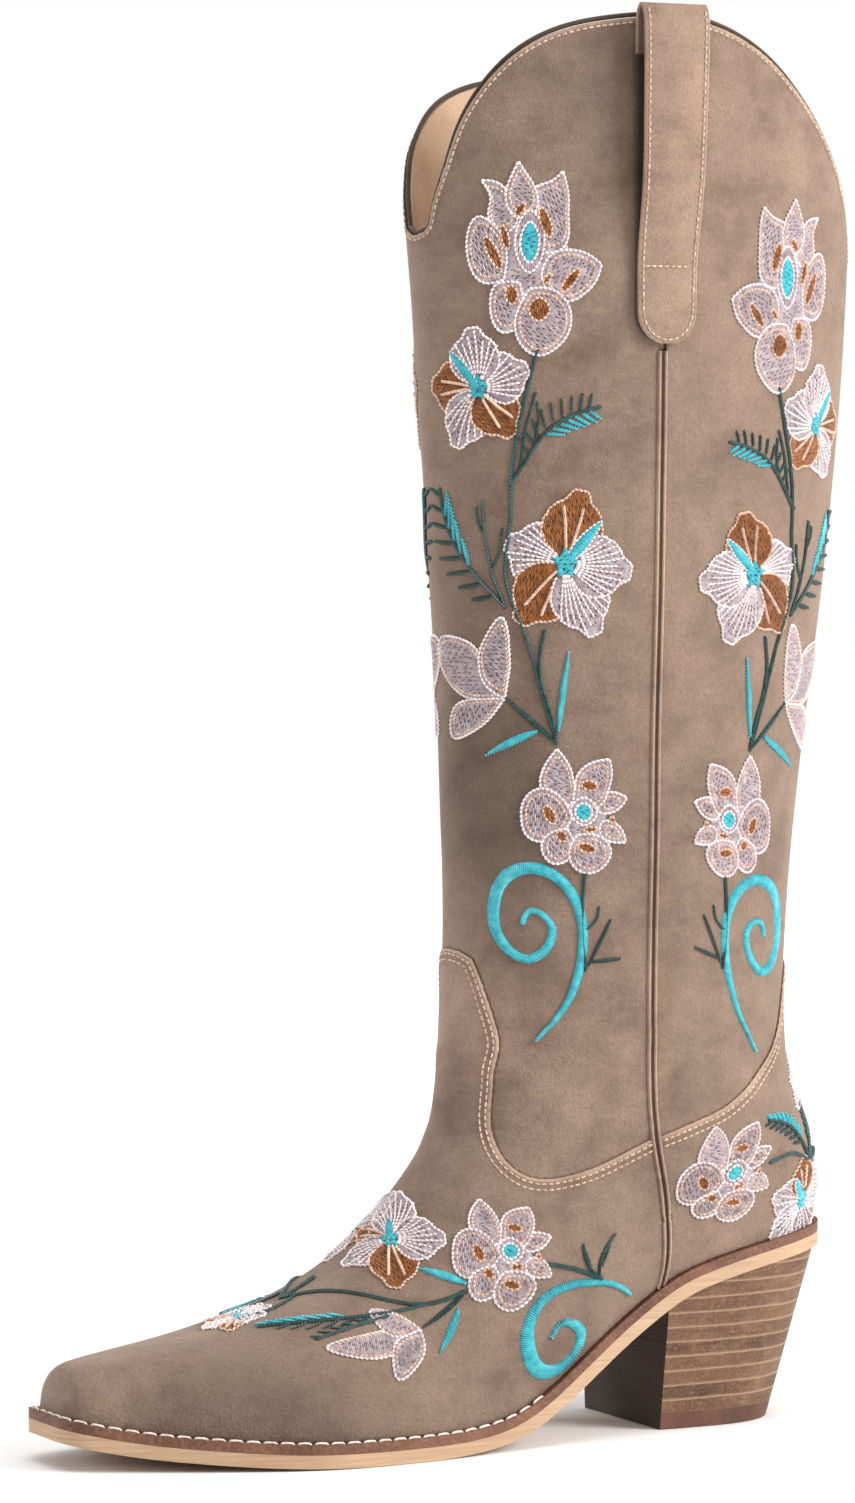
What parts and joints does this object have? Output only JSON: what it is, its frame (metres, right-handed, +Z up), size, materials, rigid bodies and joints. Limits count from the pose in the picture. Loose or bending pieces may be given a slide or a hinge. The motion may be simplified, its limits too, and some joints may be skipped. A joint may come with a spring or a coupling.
{
  "type": "cowboy boot",
  "caption": "Tall pull-on western boot, left foot: embroidered nubuck upper, scalloped collar, pull straps, stitched welt, slanted stacked heel.",
  "frame": {"origin": "on the floor under the middle of the boot's length and width, between the ball of the sole and the heel", "axes": "+Z up along the shaft, toe towards -Y, outer (lateral) side of the left foot towards +X"},
  "size_m": [0.0988, 0.2919, 0.4695],
  "materials": {
    "nubuck": "taupe brushed nubuck, cloudy light and dark, fine nap",
    "lining": "smooth light tan lining leather",
    "interlining": "woven cotton drill",
    "stiffener": "heat formed thermoplastic sheet",
    "side_piping": "taupe leather welting with a dark groove",
    "collar_piping": "thin dark brown bead",
    "strap": "taupe nubuck strap, folded double, edge stitched",
    "insole_board": "cellulose fibre board",
    "sock_liner": "tan leather over thin foam",
    "shank_steel": "ribbed spring steel strip",
    "cork": "granulated cork filler",
    "welt": "dark reddish brown welt with a pebbled edge",
    "welt_thread": "thick off-white waxed thread",
    "outsole": "honey tan sole leather, burnished edge",
    "heel_stack": "brown stacked leather with pale lines between lifts",
    "top_piece": "reddish brown rubber",
    "nails": "brass heel nails"
  },
  "bodies": {
    "root": {"vamp": "nubuck", "heel_counter": "nubuck", "shaft_front_panel": "nubuck", "shaft_back_panel": "nubuck", "vamp_lining": "lining", "heel_lining": "lining", "shaft_lining_front": "lining", "shaft_lining_back": "lining", "vamp_interlining": "interlining", "toe_puff": "stiffener", "heel_stiffener": "stiffener", "side_piping_outer": "side_piping", "side_piping_inner": "side_piping", "collar_piping": "collar_piping", "pull_strap_outer": "strap", "pull_strap_inner": "strap", "insole_board": "insole_board", "sock_liner": "sock_liner", "shank": "shank_steel", "bottom_filler": "cork", "welt": "welt", "welt_stitching": "welt_thread", "outsole": "outsole", "heel_top_piece": "top_piece", "heel_nails": "nails", "heel_lift_01": "heel_stack", "heel_lift_02": "heel_stack", "heel_lift_03": "heel_stack", "heel_lift_04": "heel_stack", "heel_lift_05": "heel_stack", "heel_lift_06": "heel_stack", "heel_lift_07": "heel_stack", "heel_lift_08": "heel_stack", "heel_lift_09": "heel_stack", "heel_lift_10": "heel_stack", "heel_lift_11": "heel_stack"}
  },
  "joints": []
}
